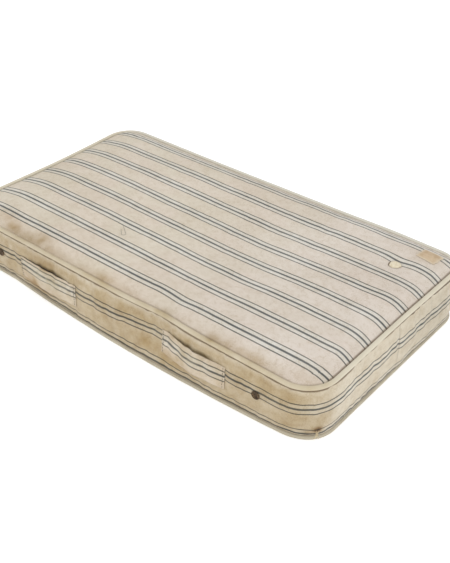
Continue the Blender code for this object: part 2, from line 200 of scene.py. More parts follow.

# Dirt and painted shade in soft bells: centre, spreads, and how much soil, grey and rust is there
DIRT_AND_SHADE_SPOTS = (
    (-0.5, -0.32, 0.18, 0.05, 0.03, 0.03, 0.45, 0.0, 0.1),
    (-0.425, -0.352, 0.176, 0.08, 0.018, 0.02, 0.55, 0.45, 0.0),
    (-0.045, -0.355, 0.178, 0.065, 0.026, 0.02, 0.36, 0.0, 0.03),
    (0.181, -0.362, 0.178, 0.055, 0.017, 0.02, 0.4, 0.3, 0.0),
    (0.353, -0.362, 0.178, 0.05, 0.015, 0.02, 0.45, 0.45, 0.0),
    (-0.326, -0.353, 0.178, 0.036, 0.02, 0.02, 0.42, 0.32, 0.0),
    (-0.454, -0.338, 0.178, 0.045, 0.02, 0.02, 0.52, 0.0, 0.06),
    (-0.33, -0.338, 0.18, 0.035, 0.024, 0.02, 0.7, 0.25, 0.0),
    (-0.27, -0.355, 0.178, 0.05, 0.015, 0.02, 0.45, 0.2, 0.0),
    (-0.02, -0.356, 0.176, 0.33, 0.015, 0.02, 0.3, 0.12, 0.0),
    (0.44, -0.352, 0.176, 0.16, 0.02, 0.02, 0.55, 0.1, 0.0),
    (0.64, -0.32, 0.174, 0.05, 0.04, 0.02, 0.35, 0.1, 0.0),
    (-0.33, -0.385, 0.045, 0.06, 0.04, 0.028, 0.35, 0.0, 0.3),
    (-0.3, -0.385, 0.14, 0.11, 0.04, 0.02, 0.35, 0.0, 0.12),
    (0.13, -0.385, 0.13, 0.2, 0.04, 0.022, 0.3, 0.0, 0.0),
    (0.2, -0.385, 0.05, 0.12, 0.04, 0.03, 0.4, 0.0, 0.1),
    (0.54, -0.38, 0.14, 0.12, 0.04, 0.03, 0.35, 0.0, 0.0),
    (0.64, -0.34, 0.06, 0.08, 0.06, 0.03, 0.3, 0.15, 0.0),
    (0.52, 0.3, 0.19, 0.045, 0.014, 0.03, 0.22, 0.16, 0.0),
    (0.6, 0.302, 0.19, 0.042, 0.036, 0.03, 0.42, 0.0, 0.1),
    (0.338, -0.143, 0.19, 0.008, 0.005, 0.03, 0.0, 0.45, 0.0),
    # Painted shade: these two dark spots stand for the shaded hole of the tear; the rust in the first is rust
    (0.67, -0.332, 0.036, 0.009, 0.011, 0.009, 0.9, 2.2, 1.00),
    (0.646, -0.352, 0.026, 0.007, 0.008, 0.005, 0.0, 2.0, 0.0),
    (0.655, -0.345, 0.03, 0.02, 0.015, 0.01, 0.4, 0.0, 0.3),
)

# The camera, fitted to the photograph
CAMERA_PLACE = Vector((1.519677, -1.687519, 1.615209)) + Vector(ORIGIN_SHIFT)
CAMERA_PITCH = math.radians(35.51609)
CAMERA_YAW = math.radians(130.20642)
CAMERA_ROLL = math.radians(-0.15898)
CAMERA_LENS = 57.4427
CAMERA_SENSOR = 36.0

HALF_LENGTH = LENGTH / 2
HALF_WIDTH = WIDTH / 2
WELT_INSET = WELT_HALF_WIDTH - WELT_PROUD
PANEL_INSET = WELT_INSET + WELT_HALF_WIDTH + GAP
PANEL_HALF_LENGTH = HALF_LENGTH - PANEL_INSET
PANEL_HALF_WIDTH = HALF_WIDTH - PANEL_INSET
TOP_WELT_HEIGHT = SEAM_HEIGHT + WELT_HALF_HEIGHT
BOTTOM_WELT_HEIGHT = WELT_HALF_HEIGHT
PANEL_EDGE_HEIGHT = TOP_WELT_HEIGHT + 0.0005
BORDER_TOP = SEAM_HEIGHT - GAP
BORDER_BOTTOM = 2 * WELT_HALF_HEIGHT + GAP
BORDER_HEIGHT = BORDER_TOP - BORDER_BOTTOM

# The cloth simulation, and how much of its wrinkles is kept on the border and on the panels
CLOTH_SETTINGS = {
    "quality": 4,
    "mass": 0.25,
    "tension_stiffness": 10,
    "compression_stiffness": 10,
    "shear_stiffness": 5,
    "bending_stiffness": 0.08,
    "use_pressure": True,
    "uniform_pressure_force": 4,
    "shrink_min": -0.025,
    "vertex_group_mass": "held",
}
CLOTH_FRAMES = 20
CLOTH_SMOOTHING = 40
PUCKER_LIMIT = 0.0045
PUCKER_SHARE = 0.8
PANEL_PUCKER = 0.22

# Unevenness of the cloth, and gathers along the border's seams
LUMPS = 0.0012
SMALL_LUMPS = 0.0005
FINE_CREASES = 0.00022
GATHER_TOP = 0.0016
GATHER_BOTTOM = 0.0011
GATHER_BETWEEN = 0.0006
BORDER_WRINKLE = 0.0014

NOISE_SIZE = 32
NOISE_TABLE = np.random.default_rng(7).uniform(-1.0, 1.0, (NOISE_SIZE,) * 3)


# Smooth random values

def soft_noise(points, spacing, octaves=1):
    """Smooth random values from -1 to 1 at points, changing over about one spacing."""
    total = np.zeros(points.shape[:-1])
    weight = 1.0
    for octave in range(octaves):
        place = points / spacing * 2**octave + 11.3 * octave + 100.0
        base = np.floor(place).astype(int)
        part = place - base
        part = part * part * (3 - 2 * part)
        for corner in np.ndindex(2, 2, 2):
            index = (base + corner) % NOISE_SIZE
            share = np.prod(np.where(corner, part, 1 - part), axis=-1)
            total += weight * NOISE_TABLE[tuple(np.moveaxis(index, -1, 0))] * share
        weight *= 0.5
    return total


def rising(value, start, spread):
    """0 up to start, then evenly up to 1 over the spread."""
    return np.clip((value - start) / spread, 0, 1)


# The seam line and the surfaces hung on it

def outline():
    """The seam line in plan before it is drawn in, anticlockwise from the middle of the front left corner.

    Returns the points and their outward directions, one row for each.
    """
    points = []
    normals = []
    for index, (corner_x, corner_y, radius) in enumerate(CORNERS):
        radius_before = CORNERS[index - 1][2]
        turn = math.radians(90 * (index - 1))
        out = np.array((math.cos(turn), math.sin(turn)))
        along = np.array((-out[1], out[0]))
        long_side = index % 2 == 0
        reach = HALF_WIDTH if long_side else HALF_LENGTH
        half = HALF_LENGTH if long_side else HALF_WIDTH
        count = LONG_SEGMENTS if long_side else SHORT_SEGMENTS
        for step in np.linspace(radius_before - half, half - radius, count + 1)[:-1]:
            points.append(out * reach + along * step)
            normals.append(out)
        middle = np.array((corner_x * HALF_LENGTH, corner_y * HALF_WIDTH))
        middle -= np.array((corner_x, corner_y)) * radius
        for k in range(CORNER_SEGMENTS):
            angle = turn + math.radians(90 * k / CORNER_SEGMENTS)
            out_here = np.array((math.cos(angle), math.sin(angle)))
            points.append(middle + out_here * radius)
            normals.append(out_here)
    first = len(points) - CORNER_SEGMENTS // 2
    return np.roll(points, -first, axis=0), np.roll(normals, -first, axis=0)


SEAM, OUTWARD = outline()


def eased(forms, along):
    """Sum of soft bell-shaped forms at a place along a side."""
    total = np.zeros_like(along)
    for centre, spread, out in forms:
        total = total + out * np.exp(-(((along - centre) / spread) ** 2))
    return total


def side_shift(side, along):
    return eased(SEAM_FORMS[side], along)


def seam_shift():
    """How far the top seam lies outside its plain outline."""
    x, y = SEAM.T
    long_shift = np.where(OUTWARD[:, 1] < 0, side_shift("front", x), side_shift("back", x))
    end_shift = np.where(OUTWARD[:, 0] < 0, side_shift("left", y), side_shift("right", y))
    return OUTWARD[:, 1] ** 2 * long_shift + OUTWARD[:, 0] ** 2 * end_shift


def stand_out(share):
    """How far the border stands outside the plain outline at a share of its height, 0 at the bottom."""
    x = SEAM[:, 0]
    long_side = OUTWARD[:, 1] ** 2
    bow = BOW_DEPTH * np.clip(1 - ((x - BOW_CENTRE_X) / BOW_HALF_LENGTH) ** 2, BOW_LOWEST, 1)
    bulge = BORDER_BULGE + eased(FRONT_FORMS, x) * (OUTWARD[:, 1] < 0)
    bulge = long_side * bulge + (1 - long_side) * END_BULGE
    sloped = long_side * bow * (1 - share) + seam_shift() * share
    return bulge * math.sin(math.pi * share) + sloped


def bells(forms, x, y):
    """Sum of bell-shaped forms over the plan."""
    total = np.zeros_like(x)
    for at_x, at_y, spread_x, spread_y, amount in forms:
        far = ((x - at_x) / spread_x) ** 2 + ((y - at_y) / spread_y) ** 2
        total = total + amount * np.exp(-far)
    return total


def top_height(x, y):
    """Height of the top panel: rolled over at its edges, nearly level inside, with its soft forms."""
    half_x = PANEL_HALF_LENGTH + np.where(x < 0, side_shift("left", y), side_shift("right", y))
    half_y = PANEL_HALF_WIDTH + np.where(y < 0, side_shift("front", x), side_shift("back", x))
    in_x = np.clip((half_x - np.abs(x)) / np.where(x < 0, LEFT_ROLL, RIGHT_ROLL), 0, 1)
    in_y = np.clip((half_y - np.abs(y)) / SIDE_ROLL, 0, 1)
    edge = ((1 - in_x) ** CORNER_BLEND + (1 - in_y) ** CORNER_BLEND) ** (1 / CORNER_BLEND)
    rise = 1 - np.clip(edge, 0, 1) ** ROLL_POWER
    height = PANEL_EDGE_HEIGHT + (PLATEAU_HEIGHT - PANEL_EDGE_HEIGHT) * rise
    return height + bells(TOP_FORMS, x, y) * np.clip(rise * 1.6, 0, 1)


def ring(inset, height, out):
    """The seam line moved inwards and outwards, at one height."""
    plan = SEAM + OUTWARD * (np.asarray(out).reshape(-1, 1) - inset)
    return np.column_stack((plan, np.full(len(plan), height)))


def panel_ring(inset):
    plan = SEAM + OUTWARD * (seam_shift()[:, None] - PANEL_INSET - inset)
    return np.column_stack((plan, top_height(plan[:, 0], plan[:, 1])))


def panel_grid(edge, columns, rows):
    """The panel inside its last ring: each point blended from the four sides of that ring."""
    front = edge[: columns + 1]
    right = edge[columns : columns + rows + 1]
    back = edge[columns + rows : 2 * columns + rows + 1][::-1]
    left = np.vstack((edge[2 * columns + rows :], edge[:1]))[::-1]
    u = np.linspace(0, 1, columns + 1)[:, None, None]
    v = np.linspace(0, 1, rows + 1)[None, :, None]
    across = (1 - v) * front[:, None] + v * back[:, None]
    along = (1 - u) * left[None] + u * right[None]
    corners = (1 - u) * (1 - v) * front[0] + u * (1 - v) * front[-1]
    corners = corners + (1 - u) * v * back[0] + u * v * back[-1]
    grid = across + along - corners
    grid[..., 2] = top_height(grid[..., 0], grid[..., 1])
    return grid


# Mesh making

def plain_object(name, vertices, faces):
    mesh = bpy.data.meshes.new(name)
    mesh.from_pydata([tuple(v) for v in vertices], [], [tuple(int(i) for i in f) for f in faces])
    shape = bmesh.new()
    shape.from_mesh(mesh)
    bmesh.ops.recalc_face_normals(shape, faces=shape.faces)
    shape.to_mesh(mesh)
    shape.free()
    mesh.shade_smooth()
    made = bpy.data.objects.new(name, mesh)
    bpy.context.scene.collection.objects.link(made)
    return made


def tube_faces(levels, around, closed=False):
    """Quads between level after level of a round form, each level with the same number of points."""
    here = np.arange(around)[None]
    after = (here + 1) % around
    low = np.arange(levels if closed else levels - 1)[:, None] * around
    high = (low + around) % (levels * around)
    return np.stack((low + here, low + after, high + after, high + here), -1).reshape(-1, 4)


def set_values(obj, name, values):
    """Keeps one number for each vertex, for the materials."""
    layer = obj.data.attributes.get(name) or obj.data.attributes.new(name, "FLOAT", "POINT")
    layer.data.foreach_set("value", np.asarray(values, dtype=np.float32))


def get_values(obj, name):
    values = np.zeros(len(obj.data.vertices), dtype=np.float32)
    obj.data.attributes[name].data.foreach_get("value", values)
    return values


def add_value(obj, name, amount):
    """Adds to one of the stain and painted-shade values, which stays from 0 to 1."""
    set_values(obj, name, np.clip(get_values(obj, name) + amount, 0, 1))


def get_points(obj):
    co = np.zeros(len(obj.data.vertices) * 3)
    obj.data.vertices.foreach_get("co", co)
    return co.reshape(-1, 3)


def set_points(obj, points):
    obj.data.vertices.foreach_set("co", points.astype(np.float32).ravel())
    obj.data.update()


def get_normals(obj):
    values = np.zeros(len(obj.data.vertices) * 3)
    obj.data.vertex_normals.foreach_get("vector", values)
    return values.reshape(-1, 3)


def subdivide(obj):
    """Applies one smooth subdivision, with the values that each vertex carries."""
    obj.modifiers.new("smooth", "SUBSURF").levels = 1
    graph = bpy.context.evaluated_depsgraph_get()
    graph.update()
    made = bpy.data.meshes.new_from_object(
        obj.evaluated_get(graph), preserve_all_data_layers=True, depsgraph=graph
    )
    old = obj.data
    obj.modifiers.clear()
    obj.data = made
    bpy.data.meshes.remove(old)
    obj.data.shade_smooth()


# The case

def case_mesh():
    """The filled case as one closed mesh, with what its materials need at each vertex."""
    count = len(SEAM)
    under_welt = stand_out(0.0)
    top_out = stand_out(1.0)
    perimeter = np.concatenate(([0.0], np.cumsum(np.linalg.norm(np.diff(SEAM, axis=0), axis=1))))
    under = [ring(PANEL_INSET + inset, 0.0, under_welt) for inset in UNDER_INSETS]
    under.append(ring(PANEL_INSET, 0.0025, under_welt))
    under.append(ring(PANEL_INSET, BORDER_BOTTOM - 0.002, under_welt))
    side = [ring(TUCK, BORDER_BOTTOM - 0.001, under_welt)]
    for share in np.arange(BORDER_ROWS + 1) / BORDER_ROWS:
        side.append(ring(0.0, BORDER_BOTTOM + BORDER_HEIGHT * share, stand_out(share)))
    side.append(ring(TUCK, BORDER_TOP + 0.001, top_out))
    top = [ring(PANEL_INSET, BORDER_TOP + 0.002, top_out)]
    top.extend(panel_ring(inset) for inset in PANEL_INSETS)
    rings = under + side + top
    columns = LONG_SEGMENTS + CORNER_SEGMENTS
    rows = SHORT_SEGMENTS + CORNER_SEGMENTS
    grid = panel_grid(rings[-1], columns, rows)
    inner = grid[1:-1, 1:-1].reshape(-1, 3)
    vertices = np.vstack(rings + [inner])

    faces = list(tube_faces(len(rings), count))
    far = 2 * columns + rows
    faces.extend((k, (far - k) % count, far - k - 1, k + 1) for k in range(columns))
    faces.append(tuple(range(columns, columns + rows + 1)))
    faces.append((*range(far, count), 0))
    index = np.zeros((columns + 1, rows + 1), int)
    last = (len(rings) - 1) * count
    index[:, 0] = last + np.arange(columns + 1)
    index[columns] = last + columns + np.arange(rows + 1)
    index[:, rows] = last + 2 * columns + rows - np.arange(columns + 1)
    index[0, 1:] = last + (2 * columns + 2 * rows - np.arange(1, rows + 1)) % count
    index[1:-1, 1:-1] = len(rings) * count + np.arange(len(inner)).reshape(columns - 1, rows - 1)
    cells = np.stack((index[:-1, :-1], index[1:, :-1], index[1:, 1:], index[:-1, 1:]), -1)
    faces.extend(cells.reshape(-1, 4))

    case = plain_object("mattress_case", vertices, faces)
    round_trip = np.concatenate((np.tile(perimeter, len(rings)), np.zeros(len(inner))))
    x, y, z = vertices.T
    joint = joint_place(perimeter)
    border = np.zeros(len(vertices), bool)
    border[len(under) * count : (len(under) + len(side)) * count] = True
    stripe = np.where(border, border_stripe(z, round_trip, joint), top_stripe(x, y))
    set_values(case, "stripe", stripe)
    set_values(case, "rise", z)
    set_values(case, "along", np.where(border, round_trip, x))
    set_values(case, "border", border)
    held = np.ones(len(vertices))
    free_from = (len(under) + 2) * count
    held[free_from : free_from + (BORDER_ROWS - 1) * count] = 0.0
    held[(len(rings) - len(PANEL_INSETS) + 1) * count :] = 0.0
    return case, held, joint


def top_stripe(x, y):
    """Distance across the stripes of the top, 0 in the middle of one group."""
    return y - TOP_GROUP_Y - bells(STRIPE_DRIFTS, x, y)


def border_stripe(z, along, joint=None):
    """Distance across the stripes of the border, 0 in the middle of its upper group."""
    drift = 0.0016 * np.sin(along * 5.3 + 0.6) + 0.0010 * np.sin(along * 13.7 + 2.0)
    if joint is not None:
        drift = drift + JOINT_JOG * (along < joint)
    up = z - BORDER_GROUP_Z - drift
    return up * (1 + 1.8 * np.maximum(up, 0) + 0.25 * np.maximum(-up, 0))


def joint_place(perimeter):
    """Where the border strip's two ends meet, as a distance round the seam line."""
    k = np.argmin(np.hypot(SEAM[:, 0] - HALF_LENGTH, SEAM[:, 1] - JOINT_Y))
    return perimeter[k] + JOINT_Y - SEAM[k, 1]


def averaged(obj, values, rounds):
    """Values at each vertex, evened out with its neighbours a number of times."""
    edges = np.zeros(len(obj.data.edges) * 2, dtype=np.int32)
    obj.data.edges.foreach_get("vertices", edges)
    one, other = edges.reshape(-1, 2).T
    size = len(values)
    degree = np.bincount(edges, minlength=size)[:, None]
    for _ in range(rounds):
        total = np.column_stack([
            np.bincount(one, values[other, axis], size) + np.bincount(other, values[one, axis], size)
            for axis in range(values.shape[1])
        ])
        values = (values + total / degree) / 2
    return values


def pucker(case, held):
    """Wrinkles where the sewn seams hold the cloth: a cloth simulation, less its broad swelling."""
    before = get_points(case)
    group = case.vertex_groups.new(name="held")
    for index, weight in enumerate(held):
        if weight > 0:
            group.add([index], float(weight), "REPLACE")
    cloth = case.modifiers.new("cloth", "CLOTH")
    for key, value in CLOTH_SETTINGS.items():
        setattr(cloth.settings, key, value)
    cloth.settings.effector_weights.gravity = 0
    cloth.collision_settings.use_collision = False
    cloth.point_cache.frame_start = 1
    cloth.point_cache.frame_end = CLOTH_FRAMES
    for step in range(1, CLOTH_FRAMES + 1):
        bpy.context.scene.frame_set(step)
    graph = bpy.context.evaluated_depsgraph_get()
    after = get_points(case.evaluated_get(graph))
    case.modifiers.clear()
    case.vertex_groups.clear()
    bpy.context.scene.frame_set(1)
    moved = after - before
    fine = moved - averaged(case, moved, CLOTH_SMOOTHING)
    reach = np.linalg.norm(fine, axis=1, keepdims=True)
    share = PUCKER_SHARE * (PANEL_PUCKER + (1 - PANEL_PUCKER) * get_values(case, "border"))[:, None]
    fine = fine * share * np.minimum(1.0, PUCKER_LIMIT / np.maximum(reach, 1e-9))
    set_points(case, before + fine * (1 - held)[:, None])


def crumple(case):
    """Small unevenness of old cloth over lumpy stuffing, and gathers along the border's seams."""
    points = get_points(case)
    normals = get_normals(case)
    border = get_values(case, "border")
    along = get_values(case, "along")
    floor_clear = rising(points[:, 2], 0.004, 0.02)
    lumps = soft_noise(points, 0.090) * LUMPS + soft_noise(points + 3.0, 0.038) * SMALL_LUMPS
    creases = soft_noise(points * (1.0, 2.2, 1.0) + 9.0, 0.016, 2) * FINE_CREASES
    round_place = np.column_stack((along, points[:, 2] * 0.18, np.zeros(len(along))))
    near_top = np.exp(-(((points[:, 2] - BORDER_TOP) / 0.040) ** 2))
    near_bottom = np.exp(-(((points[:, 2] - BORDER_BOTTOM) / 0.030) ** 2))
    depth = near_top * GATHER_TOP + near_bottom * GATHER_BOTTOM + GATHER_BETWEEN
    gathers = soft_noise(round_place, 0.015) * depth
    gathers += soft_noise(round_place + 5.0, 0.034) * BORDER_WRINKLE
    set_points(case, points + normals * ((lumps + creases + gathers * border) * floor_clear)[:, None])


def dirt_and_shade(obj, base=0.0):
    """Keeps how brown, grey and rusty each vertex is, from stains and painted shade, with some brown all
    over.
    """
    points = get_points(obj) - ORIGIN_SHIFT
    cloudy = 0.75 + 0.45 * soft_noise(points, 0.045, 3)
    amounts = np.zeros((3, len(points)))
    for spot in np.array(DIRT_AND_SHADE_SPOTS):
        far = (((points - spot[:3]) / spot[3:6]) ** 2).sum(axis=1)
        amounts += (spot[6:] * DIRT_AND_SHADE_SHARES)[:, None] * np.exp(-far)
    amounts[0] += base
    for kind, amount in zip(DIRT_AND_SHADE_KINDS, amounts):
        set_values(obj, kind, np.clip(amount * cloudy, 0, 1))


# Pieces sewn on

def welt(name, height, out):
    """A cord inside a strip of cloth, a slightly uneven roll that follows the seam."""
    centre = ring(WELT_INSET, height, out)
    wobble = soft_noise(centre, 0.030, 2)
    loops = []
    for k in range(WELT_SIDES):
        angle = 2 * math.pi * (k + 0.5) / WELT_SIDES
        side = math.copysign(abs(math.cos(angle)) ** WELT_SQUARENESS, math.cos(angle))
        rise = math.copysign(abs(math.sin(angle)) ** WELT_SQUARENESS, math.sin(angle))
        loop = centre.copy()
        swell = 1 + 0.05 * wobble + 0.03 * soft_noise(centre + (0, 0, 0.4 * k), 0.012)
        loop[:, :2] += OUTWARD * (side * WELT_HALF_WIDTH * swell)[:, None]
        loop[:, 2] += rise * WELT_HALF_HEIGHT * np.minimum(swell, 1.0)
        loops.append(loop)
    faces = tube_faces(WELT_SIDES, len(centre), closed=True)
    return plain_object(name, np.vstack(loops) + ORIGIN_SHIFT, faces)


def finder(objects):
    """Two functions that find the outermost of some surfaces: from above, and from the front."""
    trees = []
    for obj in objects:
        faces = [tuple(p.vertices) for p in obj.data.polygons]
        trees.append(BVHTree.FromPolygons([Vector(p) for p in get_points(obj)], faces))

    def hits(start, ahead):
        places = [tree.ray_cast(Vector(start), Vector(ahead))[0] for tree in trees]
        return [place for place in places if place is not None]

    def top(x, y):
        return max(place.z for place in hits((x, y, 1.0), (0, 0, -1)))

    def front(x, z):
        return min(place.y for place in hits((x, -1.0, z), (0, 1, 0)))

    return top, front


def found(find, first, second):
    """What a finder gives at each point of two grids of numbers."""
    return np.array([find(a, b) for a, b in zip(first.ravel(), second.ravel())]).reshape(first.shape)


def even_grid(first, last, columns, low, high, rows):
    """Two grids of numbers that run evenly, one by columns and one by rows."""
    return np.meshgrid(np.linspace(first, last, columns + 1), np.linspace(low, high, rows + 1), indexing="ij")


def sheet_object(name, x, z, inner, outer, upright):
    """A closed thin sheet between two surfaces over one grid: upright ones face the front."""
    order = (0, 2, 1) if upright else (0, 1, 2)
    index = np.arange(x.size).reshape(x.shape)
    cells = np.stack((index[:-1, :-1], index[:-1, 1:], index[1:, 1:], index[1:, :-1]), -1).reshape(-1, 4)
    rim = np.concatenate((index[:, 0], index[-1, 1:], index[-2::-1, -1], index[0, -2:0:-1]))
    after = np.roll(rim, -1)
    walls = np.stack((rim, after, after + x.size, rim + x.size), -1)
    sides = [np.stack((x, z, depth), -1)[..., order].reshape(-1, 3) for depth in (inner, outer)]
    return plain_object(name, np.vstack(sides), np.vstack((cells, cells[:, ::-1] + x.size, walls)))


def evened(grid, rounds):
    """A grid of numbers evened out with its neighbours."""
    for _ in range(rounds):
        wide = np.pad(grid, 1, mode="edge")
        grid = (wide[:-2, 1:-1] + wide[2:, 1:-1] + wide[1:-1, :-2] + wide[1:-1, 2:]) / 8 + grid / 2
    return grid


def strap(spec, front):
    """A flat strap sewn by its ends, with creases that fan out from them, slack between."""
    from_x = spec["from_x"]
    to_x = spec["to_x"]
    free = (to_x - from_x) - 2 * STRAP_SEWN_END
    low = spec["height"] - STRAP_WIDTH / 2
    x, up = even_grid(from_x, to_x, STRAP_COLUMNS, 0, 1, STRAP_ROWS)
    ends = np.stack((x, up, 0 * x), -1)
    z = low + STRAP_WIDTH * up + soft_noise(ends * (1, 0.02, 1), 0.03, 2) * 0.0007 * (2 * up - 1)
    x = x + soft_noise(ends * (0.0, 0.05, 1) + 7.0, 0.02, 2) * 0.0008
    wall = found(front, x + ORIGIN_SHIFT[0], z)
    share = rising(x, from_x + STRAP_SEWN_END, free)
    swell = np.sin(math.pi * share) ** STRAP_SWELL_POWER
    pulled = 1 - STRAP_TOP_PULL * rising(up, 0.45, 0.5) ** 1.3
    low_share = STRAP_LOW_SLACK_SHARE + (1 - STRAP_LOW_SLACK_SHARE) * up
    slack = spec["slack"] * pulled * STRAP_FLATNESS * low_share
    fan_x = from_x + STRAP_SEWN_END if spec["fan"] > 0 else to_x - STRAP_SEWN_END
    off_x = (x - fan_x) * spec["fan"]
    off_z = z - (low + STRAP_WIDTH * 0.72)
    near = np.exp(-(((np.hypot(off_x, off_z) - 0.020) / 0.026) ** 2))
    fan = np.sin(np.arctan2(off_z, off_x + 0.012) * 8.0) * 0.0009 * near * (off_x > -0.02)
    waves = soft_noise(np.stack((x * 0.5, 0 * x, z), -1), 0.016, 2) * 0.0008 * (0.3 + swell)
    trough = -0.0016 * np.exp(-(((up - 0.30 - 0.25 * share) / 0.10) ** 2)) * swell
    middle = evened(wall, 14) - STRAP_LIFT - STRAP_THICKNESS / 2 - slack * swell - fan - waves - trough
    inner = np.minimum(middle + STRAP_THICKNESS / 2, wall - SHEET_CLEARANCE)
    edge = np.minimum(np.minimum(up, 1 - up) * STRAP_WIDTH, np.minimum(x - x.min(), x.max() - x))
    thick = STRAP_THICKNESS * (0.55 + 0.45 * rising(edge, 0, 0.004))
    made = sheet_object(spec["name"], x + ORIGIN_SHIFT[0], z, inner, inner - thick, upright=True)
    along = x + HALF_LENGTH - CORNERS[3][2] * (1 - math.pi / 4)
    worn = np.exp(-(((x - (from_x + to_x) / 2) / 0.060) ** 2 + ((up - 0.62) / 0.30) ** 2))
    for name, values in (
        ("stripe", border_stripe(z, along)),
        ("along", along),
        ("border", np.full_like(x, STRAP_BORDER_SHARE)),
        ("rise", np.full_like(x, SEAM_HEIGHT / 2)),
        ("worn", worn * spec["worn"]),
    ):
        set_values(made, name, np.tile(values.ravel(), 2))
    dirt_and_shade(made, STRAP_SOIL)
    return made


def thread(path, radius, sides=6):
    """Vertices and faces of a thin round thread along a path."""
    path = np.asarray(path, dtype=float)
    ahead = np.gradient(path, axis=0)
    ahead /= np.linalg.norm(ahead, axis=1, keepdims=True)
    guide = np.where(np.abs(ahead[:, 2:]) > 0.9, (1.0, 0.0, 0.0), (0.0, 0.0, 1.0))
    side = np.cross(ahead, guide)
    side /= np.linalg.norm(side, axis=1, keepdims=True)
    over = np.cross(side, ahead)
    taper = np.ones(len(path))
    taper[[0, -1]] = 0.45
    turns = 2 * math.pi * np.arange(sides) / sides
    round_part = np.cos(turns)[None, :, None] * side[:, None] + np.sin(turns)[None, :, None] * over[:, None]
    vertices = (path[:, None] + round_part * (radius * taper)[:, None, None]).reshape(-1, 3)
    end = (len(path) - 1) * sides + np.arange(sides)
    return vertices, [np.arange(sides)[::-1], end, *tube_faces(len(path), sides)]


def joined_threads(name, paths, radius):
    """Many threads as one piece."""
    vertices = []
    faces = []
    for path in paths:
        start = sum(len(v) for v in vertices)
        some, around = thread(path, radius)
        vertices.append(some)
        faces.extend(tuple(start + i for i in face) for face in around)
    return plain_object(name, np.vstack(vertices), faces)


def strap_stitches(front):
    """A row of long dark stitches across each end of each strap."""
    rng = np.random.default_rng(3)
    paths = []
    for spec in STRAPS:
        for end in (spec["from_x"] + STITCH_INSET, spec["to_x"] - STITCH_INSET):
            z = spec["height"] - STRAP_WIDTH / 2 + 0.003
            while z < spec["height"] + STRAP_WIDTH / 2 - STITCH_LENGTH:
                x = end + ORIGIN_SHIFT[0] + rng.uniform(-0.0008, 0.0008)
                lean = rng.uniform(-0.0012, 0.0012)
                path = []
                for t in np.linspace(0, 1, 6):
                    px = x + lean * t
                    pz = z + STITCH_LENGTH * t
                    path.append((px, front(px, pz) + STITCH_SINK - STITCH_ARCH * math.sin(math.pi * t), pz))
                paths.append(path)
                z += STITCH_LENGTH + STITCH_GAP
    return joined_threads("strap_stitches", paths, STITCH_RADIUS)


def mending_thread(top):
    """A grey thread caught in the top, bent in a narrow loop that lies on the cloth."""
    whole = LOOP_END - LOOP_START
    ahead = whole / np.linalg.norm(whole)
    side = np.array((-ahead[1], ahead[0])) * LOOP_HALF_WIDTH
    legs = np.linspace(0, 1, 9)
    bend = LOOP_START + whole * LOOP_REACH
    plan = [LOOP_START + whole * LOOP_REACH * t + side for t in legs]
    for turn in np.linspace(0, math.pi, 13)[1:-1]:
        plan.append(bend + side * math.cos(turn) + ahead * LOOP_HALF_WIDTH * math.sin(turn))
    plan += [LOOP_START + whole * (LOOP_REACH - 0.55 * t) - side * (1 - 0.5 * t) for t in legs]
    path = []
    for x, y in np.array(plan) + ORIGIN_SHIFT[:2]:
        path.append((x, y, top(x, y) + 0.0005))
    return joined_threads("caught_thread", [path], LOOP_RADIUS)


def frayed_ends():
    """Pale threads that hang from the torn place in the bottom seam."""
    rng = np.random.default_rng(5)
    paths = []
    for _ in range(FRAYED_THREADS):
        start = TEAR + ORIGIN_SHIFT + rng.uniform(-1, 1, 3) * (0.006, 0.006, 0.005)
        length = rng.uniform(0.010, 0.024)
        sway = rng.uniform(-0.5, 0.5)
        path = []
        for t in np.linspace(0, 1, 9):
            place = start + OUT_AT_TEAR * (0.0025 + 0.0040 * math.sin(math.pi * 0.6 * t))
            place = place + ALONG_AT_TEAR * sway * length * t * t
            place[2] = max(start[2] - length * t, 0.003)
            path.append(place)
        paths.append(path)
    return joined_threads("frayed_ends", paths, FRAYED_RADIUS)


def tuft(top):
    """A thick felt disc drawn down by its twine, dimpled in the middle and uneven round its rim."""
    centre = ORIGIN_SHIFT[:2] + (TUFT_X, TUFT_Y)
    seat = top(*centre)
    share = np.arange(1, TUFT_RINGS + 1)[:, None] / TUFT_RINGS
    angle = 2 * math.pi * np.arange(TUFT_SIDES)[None] / TUFT_SIDES
    radius = TUFT_RADIUS * share * (1 + 0.035 * np.sin(3 * angle + 0.8) + 0.02 * np.sin(7 * angle))
    x = centre[0] + radius * np.cos(angle)
    y = centre[1] + radius * np.sin(angle)
    low = found(top, x, y) + 0.0007
    dome = TUFT_THICKNESS * (1 - 0.70 * share**3.2) - TUFT_DIMPLE * np.exp(-((radius / 0.0045) ** 2))
    high = np.maximum(low + 0.0012, seat + dome)
    rings = np.concatenate((np.stack((x, y, low), -1), np.stack((x, y, high), -1)[::-1]))
    middles = (*centre, seat + 0.0007), (*centre, seat + TUFT_THICKNESS - TUFT_DIMPLE)
    vertices = [*rings.reshape(-1, 3), *middles]
    faces = [*tube_faces(len(rings), TUFT_SIDES)]
    last = len(vertices) - 2
    for middle, first in ((last, 0), (last + 1, last - TUFT_SIDES)):
        faces.extend((middle, first + k, first + (k + 1) % TUFT_SIDES) for k in range(TUFT_SIDES))
    made = plain_object("tuft_felt", vertices, faces)
    points = get_points(made)
    rough = soft_noise(points, 0.004, 2) * 0.0003
    set_points(made, points + get_normals(made) * rough[:, None])
    return made


